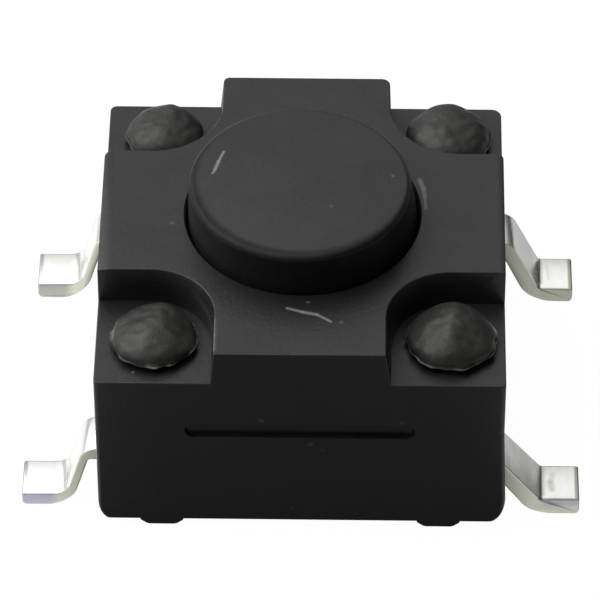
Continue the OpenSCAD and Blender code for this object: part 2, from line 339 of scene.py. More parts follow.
def trimLead(tree, place, colour, rough):  # duller cut edges, rims and heel creases darkened as painted shade, and cut faces tinted as painted reflection
    spot = splitVector(tree, place)
    facing = splitVector(tree, coordinates(tree, "Normal"))
    reach = mathNode(tree, "ABSOLUTE", spot["X"])
    colour = addMarks(tree, place, colour, paintedCreaseShade)
    fromRow = mathNode(tree, "SUBTRACT", mathNode(tree, "ABSOLUTE", spot["Y"]), leadTrim["row"] * mm)
    across = mathNode(tree, "ABSOLUTE", fromRow)
    # painted shade: the rims along the strip's edges and tips, below rimTop, are darker, with one tint on the
    # left and another on the right
    edge = mathNode(tree, "MAXIMUM", rampNode(tree, across, leadTrim["rim"], smooth=True),
                    rampNode(tree, reach, leadTrim["tip"], smooth=True))
    edge = mathNode(tree, "MULTIPLY", edge, mathNode(tree, "LESS_THAN", spot["Z"], leadTrim["rimTop"] * mm))
    rightHand = mathNode(tree, "GREATER_THAN", spot["X"], 0.0)
    paintedRimShade = mixColour(tree, rightHand, leadTrim["rimLeft"], leadTrim["rimRight"])
    colour = mixColour(tree, edge, colour, paintedRimShade)
    # the cut faces are matt, unplated metal; their lavender and olive tints, changing with side, height and
    # front or back, are painted reflection
    cut = rangeNode(tree, mathNode(tree, "ABSOLUTE", facing["Y"]), *leadTrim["cutFacing"], 0.0, 1.0)
    upper = rampNode(tree, spot["Z"], leadTrim["cutUpper"])
    onFoot = rampNode(tree, reach, leadTrim["foot"])
    tinted = mathNode(tree, "MAXIMUM", upper, mathNode(tree, "SUBTRACT", 1.0, rightHand))
    tinted = mathNode(tree, "MULTIPLY", onFoot, tinted)
    rear = mathNode(tree, "GREATER_THAN", spot["Y"], 0.0)
    rearColour = mixColour(tree, rightHand, leadTrim["cutRearLeft"], leadTrim["cutOlive"])
    footColour = mixColour(tree, rear, leadTrim["cutLavender"], rearColour)
    colour = mixColour(tree, cut, colour, mixColour(tree, tinted, leadTrim["cutOlive"], footColour))
    return colour, rangeNode(tree, cut, 0.0, 1.0, rough, leadTrim["cutRough"])


def makePlatedMetal(name, finish, trimmed=False):
    material, tree, shader, place = newMaterial(name)
    stretched = addNode(tree, "ShaderNodeMapping", {"Vector": place, "Scale": (1.0, 0.35, 1.0)}).outputs[0]
    cloud = noiseNode(tree, stretched, finish["drawScale"], 4.0, 0.6)
    tone = rangeNode(tree, cloud, *noiseSpan, 0.0, 1.0)
    colour = mixColour(tree, tone, finish["dark"], finish["pale"])
    rough = rangeNode(tree, cloud, *noiseSpan, finish["roughDark"], finish["roughPale"])
    if trimmed:
        colour, rough = trimLead(tree, place, colour, rough)
    feed(tree, shader["Base Color"], colour)
    feed(tree, shader["Roughness"], rough)
    shader["Metallic"].default_value = 1.0
    addBump(tree, shader, cloud, finish)
    return material


hairColour = (0.42, 0.42, 0.38, 1)
dustColour = (0.30, 0.30, 0.28, 1)
# light bluish, for painted highlights and glints
paintedGlintColour = (0.28, 0.29, 0.33, 1)
# lighter than the plastic, for painted light
paintedWallLightColour = (0.075, 0.075, 0.09, 1)
# pale, for flakes of flash that also serve as painted highlights
flakeAndGlintColour = (0.40, 0.40, 0.36, 1)
# near-black, for painted shade
paintedShadeColour = (0.005, 0.005, 0.005, 1)


top = nodeBox("cover")[1].z
cap = nodeBox("button")[1].z
# painted shade: a dark band along the front slot, where shade falls in the recess
slotPaintedShade = streak([(-1.55, -3.0, 2.04), (1.55, -3.0, 2.04)], (0.22,), 0.7, paintedShadeColour)
coverMarks = (
    streak([(-0.196, -2.032, top), (0.03, -2.11, top), (0.24, -2.16, top), (0.44, -2.30, top)],
           (0.04, 0.048, 0.036), 0.85, hairColour)
    # painted highlight: a light sliver on the mouth break at the hole's right edge
    + streak([(1.735, 0.73, top), (1.79, 0.55, top), (1.815, 0.36, top), (1.825, 0.12, top)],
             (0.065, 0.055, 0.035), 0.8, paintedGlintColour)
    # painted glint along the left top edge of the front arm, lit from the left
    + streak([(-1.30, -2.0, top), (-1.265, -2.3, top), (-1.255, -2.6, top), (-1.25, -2.9, top)],
             (0.045, 0.065, 0.06), 0.5, paintedGlintColour)
    # painted light: a lighter bluish patch along the curved wall of the front-left notch, where light from
    # the left falls
    + streak([(-1.52, -1.50, 3.38), (-1.36, -1.74, 3.30), (-1.29, -2.05, 3.25)],
             (0.14, 0.12), 0.6, paintedWallLightColour)
    + [speck(0.108, -1.902, top, 0.045, 0.6, dustColour), speck(0.593, -2.311, top, 0.045, 0.35, dustColour),
       speck(-1.933, -0.256, top, 0.05, 0.35, dustColour),
       speck(-2.425, -2.771, 3.015, 0.04, 0.6, dustColour),
       speck(-0.564, -3.0, 2.26, 0.06, 0.6, dustColour), speck(-0.399, -3.0, 2.125, 0.055, 0.5, dustColour),
       speck(1.497, -3.0, 2.245, 0.06, 0.4, dustColour)] + slotPaintedShade)
baseMarks = [speck(0.159, -3.0, 1.778, 0.06, 0.6, dustColour),
             speck(0.336, -3.0, 1.66, 0.05, 0.3, dustColour),
             speck(-0.117, -3.0, 0.421, 0.05, 0.3, dustColour)] + slotPaintedShade
buttonMarks = (
    streak([(-1.18, 0.55, cap), (-1.25, 0.34, cap), (-1.30, 0.16, cap), (-1.33, 0.08, cap)],
           (0.032, 0.042, 0.032), 0.85, hairColour)
    + [speck(0.426, -0.605, cap, 0.045, 0.3, dustColour), speck(1.33, 0.06, cap, 0.045, 0.4, dustColour)])
headMarks = (
    # light flakes of flash round the head rims, also painted highlights for the glints along the rims
    streak([(-2.20, -2.78, 3.13), (-2.11, -2.775, 3.13)], (0.075,), 0.85, flakeAndGlintColour)
    + streak([(-1.63, -2.44, 3.13), (-1.58, -2.34, 3.13)], (0.07,), 0.75, flakeAndGlintColour)
    + streak([(-2.76, -2.2, 3.16), (-2.765, -2.06, 3.16)], (0.09,), 0.5, flakeAndGlintColour)
    + streak([(1.66, -2.49, 3.13), (1.79, -2.62, 3.13), (1.95, -2.74, 3.13)],
             (0.035, 0.035), 0.2, flakeAndGlintColour)
    + streak([(1.97, -2.76, 3.13), (2.15, -2.78, 3.13), (2.33, -2.76, 3.13)],
             (0.035, 0.04), 0.35, flakeAndGlintColour)
    + streak([(2.56, -2.62, 3.13), (2.68, -2.5, 3.14)], (0.065,), 0.6, flakeAndGlintColour)
    + streak([(2.80, -2.3, 3.14), (2.84, -2.2, 3.14)], (0.07,), 0.8, flakeAndGlintColour)
    + streak([(2.85, -2.05, 3.14), (2.84, -1.9, 3.14)], (0.065,), 0.7, flakeAndGlintColour)
    # painted shade: the four wide dark specks on the right side of each head, where shade falls
    + [speck(-1.72, -2.1, 3.25, 0.32, 0.5, paintedShadeColour), speck(2.72, -2.05, 3.25, 0.36, 0.5, paintedShadeColour),
       speck(-1.75, 2.3, 3.3, 0.42, 0.8, paintedShadeColour), speck(2.7, 2.3, 3.3, 0.36, 0.7, paintedShadeColour),
       speck(-1.90, -2.74, 3.13, 0.055, 0.5, flakeAndGlintColour), speck(2.74, 1.95, 3.14, 0.07, 0.7, flakeAndGlintColour)])
coverPlastic = makePlastic("coverPlastic", housingFinish, coverMarks)
basePlastic = makePlastic("basePlastic", housingFinish, baseMarks)
buttonRim = {"from": 1.5, "to": 1.62, "specular": 0.11}  # its shine drops over these distances from the axis
buttonPlastic = makePlastic("buttonPlastic", buttonFinish, buttonMarks, buttonRim)
headPlastic = makePlastic("headPlastic", headFinish, headMarks)
sealSilicone = makePlastic("sealSilicone", sealFinish)
tinPlate = makePlatedMetal("tinPlate", tinFinish, trimmed=True)
domeSteel = makePlatedMetal("domeSteel", steelFinish)
print("materials ready")


coverLow, coverHigh = nodeBox("cover")
buttonLow, buttonHigh = nodeBox("button")
splitHeight = coverLow.z
topHeight = coverHigh.z
half = coverHigh.x
cover = {
    "cornerHeight": 1.025, "armWidth": 2.5, "armBack": 0.08, "crownBackWider": 0.04, "notchSteps": 14,
    "notchRadius": {-1: 0.95, 1: 1.05}, "draftSides": 0.03,  # front and back
    "draft": {(-1, -1): 0.05, (1, -1): 0.08, (-1, 1): 0.06, (1, 1): 0.02},
    "leftBevel": (0.22, 0.022), "rightBevel": (0.11, 0.025), "edgeRound": 0.02,
    "crownBackRound": {-1: 0.09, 1: 0.13}, "armBackRound": {-1: 0.12, 1: 0.08},
    "holeRadius": 1.73, "mouthBreak": 0.04, "boreRadius": 1.95, "roofHeight": 1.025, "sealRoomRadius": 2.12,
    "sealRoomHeight": 0.415, "postHoleRadius": 0.42, "postHoleCut": 4, "mouthRound": 0.025, "innerArea": 8,
}
cornerRound = {(-1, -1): 0.07, (1, -1): 0.07, (-1, 1): 0.1, (1, 1): 0.15}
slot = {"length": 3.1, "height": 0.26, "endDiameter": 0.28, "depth": 0.068, "rise": 0.055}
ledgeHeight = splitHeight + cover["cornerHeight"]
postPlace = cover["armWidth"] / 2 + cover["notchRadius"][-1]


def slotCutter(side):  # slot with round ends, across the joint line
    bm = bmesh.new()
    middle = splitHeight + slot["rise"]
    turned = Matrix.Rotation(math.pi / 2, 4, "X")
    for place in (-1, 1):
        spot = Matrix.Translation((place * slot["length"] / 2, side * half, middle)) @ turned
        bmesh.ops.create_cone(bm, cap_ends=True, segments=24, radius1=slot["endDiameter"] / 2,
                              radius2=slot["endDiameter"] / 2, depth=2 * slot["depth"], matrix=spot)
    tool = asObject(bm, "slotEnds")
    bm = bmesh.new()
    bmesh.ops.create_cube(bm, size=1, matrix=Matrix.Translation((0, side * half, middle)) @
                          Matrix.Diagonal((slot["length"], 2 * slot["depth"], slot["height"], 1)))
    combine(tool, asObject(bm, "slotLine"), "UNION")
    return tool


def roundCorners(bm):
    for (side, way), width in cornerRound.items():
        upright = [e for e in bm.edges if abs(e.verts[0].co.z - e.verts[1].co.z) > 0.2
                   and all(side * v.co.x > 0.995 * half and way * v.co.y > 0.995 * half for v in e.verts)]
        bevelEdges(bm, upright, width, 4)


def buildCover():
    arm = cover["armWidth"] / 2
    bm = bmesh.new()
    bmesh.ops.create_grid(bm, x_segments=3, y_segments=3, size=half)
    for v in bm.verts:
        v.co.z = ledgeHeight
        side, way = (1 if v.co.x > 0 else -1), (1 if v.co.y > 0 else -1)
        if abs(v.co.x) < 0.9 * half:
            v.co.x = side * arm + (cover["crownBackWider"] if side > 0 and way > 0 else 0)
        if abs(v.co.y) < 0.9 * half:
            v.co.y = way * arm + (cover["armBack"] if way > 0 else 0)
    cross = [f for f in bm.faces if min(abs(f.calc_center_median().x), abs(f.calc_center_median().y)) < arm]
    bmesh.ops.dissolve_faces(bm, faces=cross)
    for way, radius in cover["notchRadius"].items():
        inner = [v for v in bm.verts if way * v.co.y > 0 and max(abs(v.co.x), abs(v.co.y)) < 0.5 * half]
        bevelCorners(bm, inner, radius, cover["notchSteps"])
    # the lower block, then the cross on it
    flat = bm.faces[:]
    down = bmesh.ops.extrude_face_region(bm, geom=flat)
    bmesh.ops.translate(bm, vec=(0, 0, splitHeight - ledgeHeight), verts=vertsOf(down))
    bm.faces.ensure_lookup_table()
    onLedge = [f for f in bm.faces if abs(f.calc_center_median().z - ledgeHeight) < close]
    crown = max(onLedge, key=lambda f: f.calc_area())
    up = bmesh.ops.extrude_face_region(bm, geom=[crown])
    bmesh.ops.translate(bm, vec=(0, 0, topHeight - ledgeHeight), verts=vertsOf(up))
    bm.faces.ensure_lookup_table()
    onLedge = [f for f in bm.faces if abs(f.calc_center_median().z - ledgeHeight) < close]
    for f in [f for f in onLedge if f.calc_area() > cover["innerArea"]]:  # left inside, under the cross
        bmesh.ops.delete(bm, geom=[f], context="FACES_ONLY")
    # the notch walls lean: the cross is wider at its foot than at its top
    for v in bm.verts:
        if abs(v.co.z - ledgeHeight) < close:
            if abs(v.co.x) < 0.99 * half and abs(v.co.x) > 0.9 * arm:
                side, way = (1 if v.co.x > 0 else -1), (1 if v.co.y > 0 else -1)
                v.co.x += side * cover["draft"][side, way]
            if abs(v.co.y) < 0.99 * half and abs(v.co.y) > 0.9 * arm:
                v.co.y += math.copysign(cover["draftSides"], v.co.y)
    bmesh.ops.recalc_face_normals(bm, faces=bm.faces)
    bmesh.ops.dissolve_limit(bm, angle_limit=math.radians(1), verts=bm.verts, edges=bm.edges)
    for side, (width, drop) in ((-1, cover["leftBevel"]), (1, cover["rightBevel"])):
        rim = [e for e in bm.edges
               if all(abs(v.co.z - topHeight) < level and abs(v.co.x - side * half) < level for v in e.verts)]
        bevelEdges(bm, rim, width, 1)
        for v in bm.verts:  # the slope is shallow: its lower line comes up
            if abs(v.co.x - side * half) < level and abs(v.co.z - topHeight + width) < level:
                v.co.z = topHeight - drop
    roundCorners(bm)
    for side, width in cover["crownBackRound"].items():
        corner = [e for e in bm.edges if abs(e.verts[0].co.z - e.verts[1].co.z) > 0.3
                  and all(v.co.y > 0.999 * half and 0 < side * v.co.x < 0.6 * half for v in e.verts)]
        bevelEdges(bm, corner, width, 4)
    for side, width in cover["armBackRound"].items():
        corner = [e for e in bm.edges if abs(e.verts[0].co.z - e.verts[1].co.z) > 0.3
                  and all(side * v.co.x > 0.999 * half and 0.3 * half < v.co.y < 0.7 * half for v in e.verts)]
        bevelEdges(bm, corner, width, 4)
    bevelEdges(bm, outerEdges(bm, 40, splitHeight), cover["edgeRound"], 3)
    return asObject(bm, "coverShell")


coverShell = buildCover()
holeRadius = cover["holeRadius"]
roof = splitHeight + cover["roofHeight"]
past = 0.4  # a cutter reaches this far past what it cuts
bore = spun([(0, splitHeight - past), (cover["sealRoomRadius"], splitHeight - past),
             (cover["sealRoomRadius"], splitHeight + cover["sealRoomHeight"]),
             (cover["boreRadius"], splitHeight + cover["sealRoomHeight"]), (cover["boreRadius"], roof),
             (holeRadius, roof), (holeRadius, topHeight - cover["mouthBreak"]),
             (holeRadius + cover["mouthBreak"], topHeight),
             (holeRadius + cover["mouthBreak"] + past, topHeight + past), (0, topHeight + past)], 128)
bevelEdges(bore, ringEdges(bore, holeRadius, topHeight - cover["mouthBreak"])
           + ringEdges(bore, holeRadius + cover["mouthBreak"], topHeight), cover["mouthRound"], 3)
combine(coverShell, asObject(bore, "bore"), "DIFFERENCE")
for side in (-1, 1):
    combine(coverShell, slotCutter(side), "DIFFERENCE")
    for way in (-1, 1):
        hole = bmesh.new()
        bmesh.ops.create_cone(hole, cap_ends=True, segments=48, radius1=cover["postHoleRadius"],
                              radius2=cover["postHoleRadius"], depth=cover["postHoleCut"],
                              matrix=Matrix.Translation((side * postPlace, way * postPlace, ledgeHeight)))
        combine(coverShell, asObject(hole, "postHole"), "DIFFERENCE")
finishPiece(coverShell, "housing", coverPlastic, ["cover"])
print("cover built")


contactHigh = nodeBox("contact_centre")[1]
strip = {
    "width": 0.7, "thickness": 0.24, "plateHeight": 0.98, "shoulderRadius": 0.05, "edgeRound": 0.03,
    "bendSteps": 8, "pitch": 4.5,
    "leftSlope": 74, "leftFoot": 0.48, "leftHeelRadius": 0.24, "leftHeelOutside": 0.48, "leftNeck": 0.14,
    "rightHeelRadius": 0.06, "rightHeelOutside": 0.55, "tipUnder": 0.07,
    "bulgePlace": (3.3, 0.3), "bulgeReach": 0.5, "bulgeDepth": 0.1,
}
inner = {
    "tongueWidth": 0.8, "tongueEnd": 0.3, "pointDiameter": 0.6, "railWidth": 0.5, "railPlace": 1.75,
    "railPad": 1.8, "rise": 0.08,
}


def leadCorners(side, slopeDegrees, foot, heelRadius, heelOutside, neck):
    # corners of one lead's outline from the bar to the tip above, then back below, each with its bend
    slope = math.radians(slopeDegrees)
    thick = strip["thickness"]
    tip = contactHigh.x
    heelX = tip - foot
    halfTurn = math.tan(slope / 2)
    heelTop = Vector((heelX - heelRadius * halfTurn, thick))
    heelLow = Vector((heelX - (heelRadius + thick) * halfTurn + (thick - neck) / math.sin(slope), 0))
    plateTop = strip["plateHeight"] + thick
    shoulderTop = Vector((heelTop.x - (plateTop - thick) / math.tan(slope), plateTop))
    shoulderLow = Vector((heelLow.x - strip["plateHeight"] / math.tan(slope), strip["plateHeight"]))
    rows = [(shoulderTop, (strip["shoulderRadius"] + thick) * halfTurn), (heelTop, heelRadius * halfTurn),
            (Vector((tip, thick)), 0), (Vector((tip, 0)), strip["tipUnder"]),
            (heelLow, heelOutside * halfTurn), (shoulderLow, strip["shoulderRadius"] * halfTurn)]
    return [(Vector((side * p.x, p.y)), reach) for p, reach in rows]


def buildStrip(lead):
    front = lead["y"] - strip["width"] / 2
    right = leadCorners(1, lead["slope"], lead["foot"], strip["rightHeelRadius"], strip["rightHeelOutside"],
                        strip["thickness"])
    left = leadCorners(-1, strip["leftSlope"], strip["leftFoot"], strip["leftHeelRadius"],
                       strip["leftHeelOutside"], strip["leftNeck"])
    outline = right + left[::-1]
    bm = bmesh.new()
    corners = [bm.verts.new((p.x, front, p.y)) for p, reach in outline]
    bm.faces.new(corners)
    for corner, (p, reach) in zip(corners, outline):
        if reach:
            steps = min(strip["bendSteps"], 2 + int(reach / strip["edgeRound"]))
            bevelCorners(bm, [corner], reach, steps)
    wide = bmesh.ops.extrude_face_region(bm, geom=bm.faces[:])
    bmesh.ops.translate(bm, vec=(0, strip["width"], 0), verts=vertsOf(wide))
    bmesh.ops.recalc_face_normals(bm, faces=bm.faces)
    for v in bm.verts:  # the cut edge of a foot spreads a little at the board
        spread = lead["spreadRight"] if v.co.x > 0 else lead["spreadLeft"]
        if v.co.y < front + close and abs(v.co.x) > half:
            v.co.y -= spread * max(0, 1 - v.co.z / strip["thickness"])
        away = (Vector((v.co.x, v.co.z)) - Vector(strip["bulgePlace"])).length / strip["bulgeReach"]
        if v.co.y < front + strip["bulgeDepth"] and away < 1:  # and it bulges at the right heel
            v.co.y -= lead["bulge"] * (1 - away * away) ** 2
    bevelEdges(bm, outerEdges(bm, 50), strip["edgeRound"], 3)
    return asObject(bm, lead["name"])


def boxAt(name, low, high):
    bm = bmesh.new()
    size = Vector(high) - Vector(low)
    middle = Matrix.Translation((Vector(low) + Vector(high)) / 2)
    bmesh.ops.create_cube(bm, size=1, matrix=middle @ Matrix.Diagonal((*size, 1)))
    return asObject(bm, name)


plateLow = strip["plateHeight"]
plateTop = plateLow + strip["thickness"]
rowY = strip["pitch"] / 2
leadFront = buildStrip({"name": "contactCentre", "y": -rowY, "slope": 52, "foot": 0.54,
                        "spreadLeft": 0.0, "spreadRight": 0.08, "bulge": 0.09})
tongueSide = inner["tongueWidth"] / 2
tongue = boxAt("tongue", (-tongueSide, -rowY, plateLow), (tongueSide, inner["tongueEnd"], plateTop))
combine(leadFront, tongue, "UNION")
point = bmesh.new()
pointTall = strip["thickness"] + inner["rise"]
bmesh.ops.create_cone(point, cap_ends=True, segments=48, radius1=inner["pointDiameter"] / 2,
                      radius2=inner["pointDiameter"] / 2, depth=pointTall,
                      matrix=Matrix.Translation((0, 0, plateLow + pointTall / 2)))
combine(leadFront, asObject(point, "point"), "UNION")
leadRear = buildStrip({"name": "contactOuter", "y": rowY, "slope": 65, "foot": 0.48,
                       "spreadLeft": 0.06, "spreadRight": 0.04, "bulge": 0.05})
hair = 0.003  # the joined blocks stay off each other's planes by this much
for side in (-1, 1):
    x = side * inner["railPlace"]
    wide = inner["railWidth"] / 2
    rail = boxAt("rail", (x - wide, -inner["railPad"] / 2, plateLow + hair),
                 (x + wide, rowY, plateTop - hair))
    combine(leadRear, rail, "UNION")
    railPad = boxAt("railPad", (x - wide + hair, -inner["railPad"] / 2 + hair, plateLow + 2 * hair),
                    (x + wide - hair, inner["railPad"] / 2, plateTop + inner["rise"]))
    combine(leadRear, railPad, "UNION")


base = {
    "standoff": 0.125, "lowerRound": {-1: (0.17, 0.36), 1: (0.23, 0.48)}, "frameRound": 0.06,
    "flareRight": 0.05,
    "nestRadius": 2.06, "sealSeatRadius": 2.47, "sealSeatDepth": 0.2, "floorHeight": 1.30,
    "padDiameter": 0.66, "padTipDiameter": 0.46, "padHeight": 0.085, "padSideInset": 0.94, "padInset": 0.1,
    "padFlat": 0.004, "padRoot": 0.2, "padRound": 0.03,
}


def buildBase():
    bm = bmesh.new()
    low = base["standoff"]
    corners = {side: bm.verts.new((side * half, -half, low)) for side in (1, -1)}
    upper = [bm.verts.new((side * half, -half, splitHeight)) for side in (1, -1)]
    bm.faces.new([corners[-1], corners[1], *upper])
    for side, (wide, tall) in base["lowerRound"].items():  # a round, stretched upwards
        bevelCorners(bm, [corners[side]], wide, 8)
        for v in bm.verts:
            if side * v.co.x > 0 and v.co.z < low + wide + close:
                v.co.z = low + (v.co.z - low) * tall / wide
    back = bmesh.ops.extrude_face_region(bm, geom=bm.faces[:])
    bmesh.ops.translate(bm, vec=(0, 2 * half, 0), verts=vertsOf(back))
    for way in (-1, 1):
        around = [e for e in bm.edges if all(way * v.co.y > 0.99 * half for v in e.verts)
                  and not all(v.co.z > splitHeight - level for v in e.verts)]
        bevelEdges(bm, around, base["frameRound"], 4)
    for v in bm.verts:  # the right side stands out a little at its foot
        if v.co.x > 0.5 * half and v.co.z < splitHeight - level:
            v.co.x += base["flareRight"]
    return asObject(bm, "baseBody")


baseBody = buildBase()
padZ = base["standoff"] - base["padHeight"]
padTip = base["padTipDiameter"] / 2
padSide = base["padDiameter"] / 2
padRoot = base["standoff"] + base["padRoot"]
for side in (-1, 1):
    for way in (-1, 1):
        pad = spun([(0, padZ), (padTip, padZ), (padSide, base["standoff"]), (padSide, padRoot),
                    (0, padRoot)], 40)
        bevelEdges(pad, ringEdges(pad, padTip, padZ), base["padRound"], 3)
        place = (side * (half - base["padSideInset"]), way * (half - base["padInset"]), 0)
        bmesh.ops.translate(pad, vec=place, verts=pad.verts)
        bmesh.ops.bisect_plane(pad, geom=pad.verts[:] + pad.edges[:] + pad.faces[:], clear_outer=True,
                               plane_co=(0, way * (half - base["padFlat"]), 0), plane_no=(0, way, 0))
        bmesh.ops.contextual_create(pad, geom=[e for e in pad.edges if e.is_boundary])
        combine(baseBody, asObject(pad, "pad"), "UNION")
sealSeat = splitHeight - base["sealSeatDepth"]
nest = spun([(0, base["floorHeight"]), (base["nestRadius"], base["floorHeight"]),
             (base["nestRadius"], sealSeat), (base["sealSeatRadius"], sealSeat),
             (base["sealSeatRadius"], splitHeight + past), (0, splitHeight + past)], 96)
combine(baseBody, asObject(nest, "nest"), "DIFFERENCE")
for side in (-1, 1):
    combine(baseBody, slotCutter(side), "DIFFERENCE")
for lead in (leadFront, leadRear):
    copy = lead.copy()
    copy.data = lead.data.copy()
    bpy.context.scene.collection.objects.link(copy)
    combine(baseBody, copy, "DIFFERENCE")
finishPiece(baseBody, "housing", basePlastic, ["base"])
finishPiece(leadFront, "housing", tinPlate, ["contact_centre"])
finishPiece(leadRear, "housing", tinPlate, ["contact_outer"])
print("base and contacts built")


stake = {
    "postRadius": 0.4, "undercut": 0.12, "lump": 0.032, "lumpScale": 2.0, "ripple": 0.017, "rippleScale": 7.0,
    "rimTear": 0.05, "rimTearScale": 6.0, "lip": 0.026, "lipHeight": 0.018, "fullness": 0.86,
    "lift": 0.1, "neckShare": 0.35, "ridgePivot": 0.35, "ridgeBlunt": 0.004, "rings": 28, "steps": 96,
}
# each head was pressed differently: shift is off the post's axis, a ridge has its turn in degrees
# and its slope
heads = [
    {"name": "stakeFrontLeft", "side": -1, "way": -1, "shift": (0.055, 0.05), "radius": 0.66, "height": 0.37,
     "ridge": (15, 0.22), "seed": 1},
    {"name": "stakeFrontRight", "side": 1, "way": -1, "shift": (0.0, 0.08), "radius": 0.68, "height": 0.42,
     "ridge": (11, 0.30), "seed": 2},
    {"name": "stakeRearLeft", "side": -1, "way": 1, "shift": (0.07, 0.0), "radius": 0.62, "height": 0.42,
     "ridge": (10, 0.16), "seed": 3},
    {"name": "stakeRearRight", "side": 1, "way": 1, "shift": (-0.025, 0.0), "radius": 0.67, "height": 0.44,
     "ridge": (0, 0.12), "seed": 4},
]


def buildStake(head):
    rise = head["height"] - stake["lift"]
    full = stake["fullness"]
    neck = head["radius"] - stake["undercut"]
    domeRadius = head["radius"] - stake["lip"]
    outline = []
    for ring in range(stake["rings"]):  # a flat dome that turns down steeply
        angle = math.pi / 2 * ring / stake["rings"]
        outline.append((domeRadius * math.sin(angle) ** full, stake["lift"] + rise * math.cos(angle) ** full))
    # and the thin lip round it
    outline += [(head["radius"] - 0.6 * stake["lip"], stake["lift"] + stake["lipHeight"]),
                (head["radius"], stake["lift"] + 0.7 * stake["lipHeight"]), (head["radius"], stake["lift"])]
    bm = spun(outline, stake["steps"])
    drift = Vector((head["seed"] * 7.3, head["seed"] * 3.1, head["seed"] * 5.7))
    turn, slope = math.radians(head["ridge"][0]), head["ridge"][1]
    for v in bm.verts:
        away = v.co.xy.length / head["radius"]
        lump = noise.noise(v.co * stake["lumpScale"] + drift) * stake["lump"]
        ripple = noise.noise(v.co * stake["rippleScale"] + drift * 2) * stake["ripple"]
        tear = noise.noise(Vector((v.co.x, v.co.y, 0)) * stake["rimTearScale"] + drift * 3) * stake["rimTear"]
        aside = v.co.x * math.cos(turn) - v.co.y * math.sin(turn)
        aside = math.sqrt(aside ** 2 + stake["ridgeBlunt"])
        v.co.z += (lump + ripple - slope * (aside - stake["ridgePivot"] * head["radius"])) * (1 - away ** 6)
        v.co.xy *= 1 + (tear - 0.3 * stake["rimTear"]) / head["radius"] * away ** 8
    rim = [e for e in bm.edges if e.is_boundary]
    for radius, z in ((neck, stake["neckShare"] * stake["lift"]), (neck, 0.0), (stake["postRadius"], 0.0),
                      (stake["postRadius"], splitHeight - ledgeHeight)):
        ring = bmesh.ops.extrude_edge_only(bm, edges=rim)["geom"]
        for v in ring:
            if isinstance(v, bmesh.types.BMVert):
                v.co.xy *= radius / v.co.xy.length
                v.co.z = z
        rim = [e for e in ring if isinstance(e, bmesh.types.BMEdge) and e.is_boundary]
    bmesh.ops.contextual_create(bm, geom=rim)
    post = Vector((head["side"] * postPlace, head["way"] * postPlace, ledgeHeight))
    for v in bm.verts:
        v.co += post
        if v.co.z > ledgeHeight - close:  # the head is off its post's middle, the post isn't
            v.co.xy += Vector(head["shift"])
    return asObject(bm, head["name"])


for head in heads:
    finishPiece(buildStake(head), "housing", headPlastic, ["base"], 50)
print("stakes built")


button = {
    "radius": 1.7, "topRadius": 1.64, "topRound": 0.09, "lean": (-0.045, -0.09), "flangeRadius": 1.88,
    "flangeThickness": 0.3, "noseRadius": 0.9, "lowerRound": 0.04,
}


def buildButton():
    top = buttonHigh.z
    flangeLow = roof - button["flangeThickness"]
    bm = spun([(0, buttonLow.z), (button["noseRadius"], buttonLow.z), (button["noseRadius"], flangeLow),
               (button["flangeRadius"], flangeLow), (button["flangeRadius"], roof), (button["radius"], roof),
               (button["radius"], topHeight), (button["radius"], top), (0, top)], 128)
    bevelEdges(bm, ringEdges(bm, button["radius"], top), button["topRound"], 8)
    lower = ringEdges(bm, button["flangeRadius"], flangeLow)
    lower += ringEdges(bm, button["noseRadius"], buttonLow.z)
    bevelEdges(bm, lower, button["lowerRound"], 3)
    for v in bm.verts:  # the cap narrows a little towards its top and leans by a hair
        if v.co.z > topHeight:
            share = (v.co.z - topHeight) / (top - topHeight)
            v.co.xy *= 1 + share * (button["topRadius"] / button["radius"] - 1)
            v.co.xy += share * Vector(button["lean"])
    return asObject(bm, "buttonCap")


finishPiece(buildButton(), "button", buttonPlastic, ["button"])
print("button built")


seal = {
    "rimWidth": 0.35, "rimSpread": 0.03, "rimThickness": 0.2, "webThickness": 0.12, "webFoot": 0.04,
    "webTop": 0.06, "bossRadius": 0.9, "bossGap": 0.02, "bossRound": 0.03, "domeHeight": 0.32,
}


def buildSeal():
    rimInner = base["nestRadius"]
    rimOuter = rimInner + seal["rimWidth"] + seal["rimSpread"]
    rimLow = splitHeight - seal["rimThickness"]
    webHigh = (buttonLow.z + splitHeight) / 2
    bossLow = base["floorHeight"] + seal["domeHeight"]
    webLow = webHigh - seal["webThickness"]
    boss = seal["bossRadius"] - seal["bossGap"]
    web = [(boss, webLow), (rimInner, rimLow + seal["webFoot"]), (rimInner, rimLow), (rimOuter, rimLow),
           (rimOuter, splitHeight), (rimInner + seal["webTop"], splitHeight), (boss, webHigh), (boss, webLow)]
    skirt = asObject(spun(web, 96), "sealSkirt")
    bossShape = spun([(0, bossLow), (boss, bossLow), (boss, buttonLow.z), (0, buttonLow.z)], 64)
    bevelEdges(bossShape, ringEdges(bossShape, boss, bossLow), seal["bossRound"], 3)
    return skirt, asObject(bossShape, "sealBoss"), webHigh


sealSkirt, sealBoss, webHigh = buildSeal()
finishPiece(sealSkirt, None, sealSilicone, ["seal"])
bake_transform(sealSkirt)
finishPiece(sealBoss, "button", sealSilicone, ["seal"])
dome = nodes["dome"]
dome.data.materials.clear()
dome.data.materials.append(domeSteel)
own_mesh(dome)
print("seal and dome ready")


studio = {
    "floorSize": 400, "floorTone": 0.8, "floorBounce": 0.06, "floorMirrored": 0.3, "floorSeen": 0.9,
    "floorLight": 1.09,
    "glossFront": 0.12, "glossLeft": 1.0, "glossRight": 0.40, "glossAhead": 0.62, "glossEdge": (3.05, 3.5),
    "glossBehind": (-2.75, -2.55), "worldDiffuse": 0.2, "brightSide": (-0.6, 0.3, 0.74),
    "skyEdge": (0.0, 0.65),
    "skyDim": 0.15, "horizon": (-0.05, 0.45), "horizonDim": 0.4, "backLow": (0.15, 0.75), "backDim": 0.3,
}


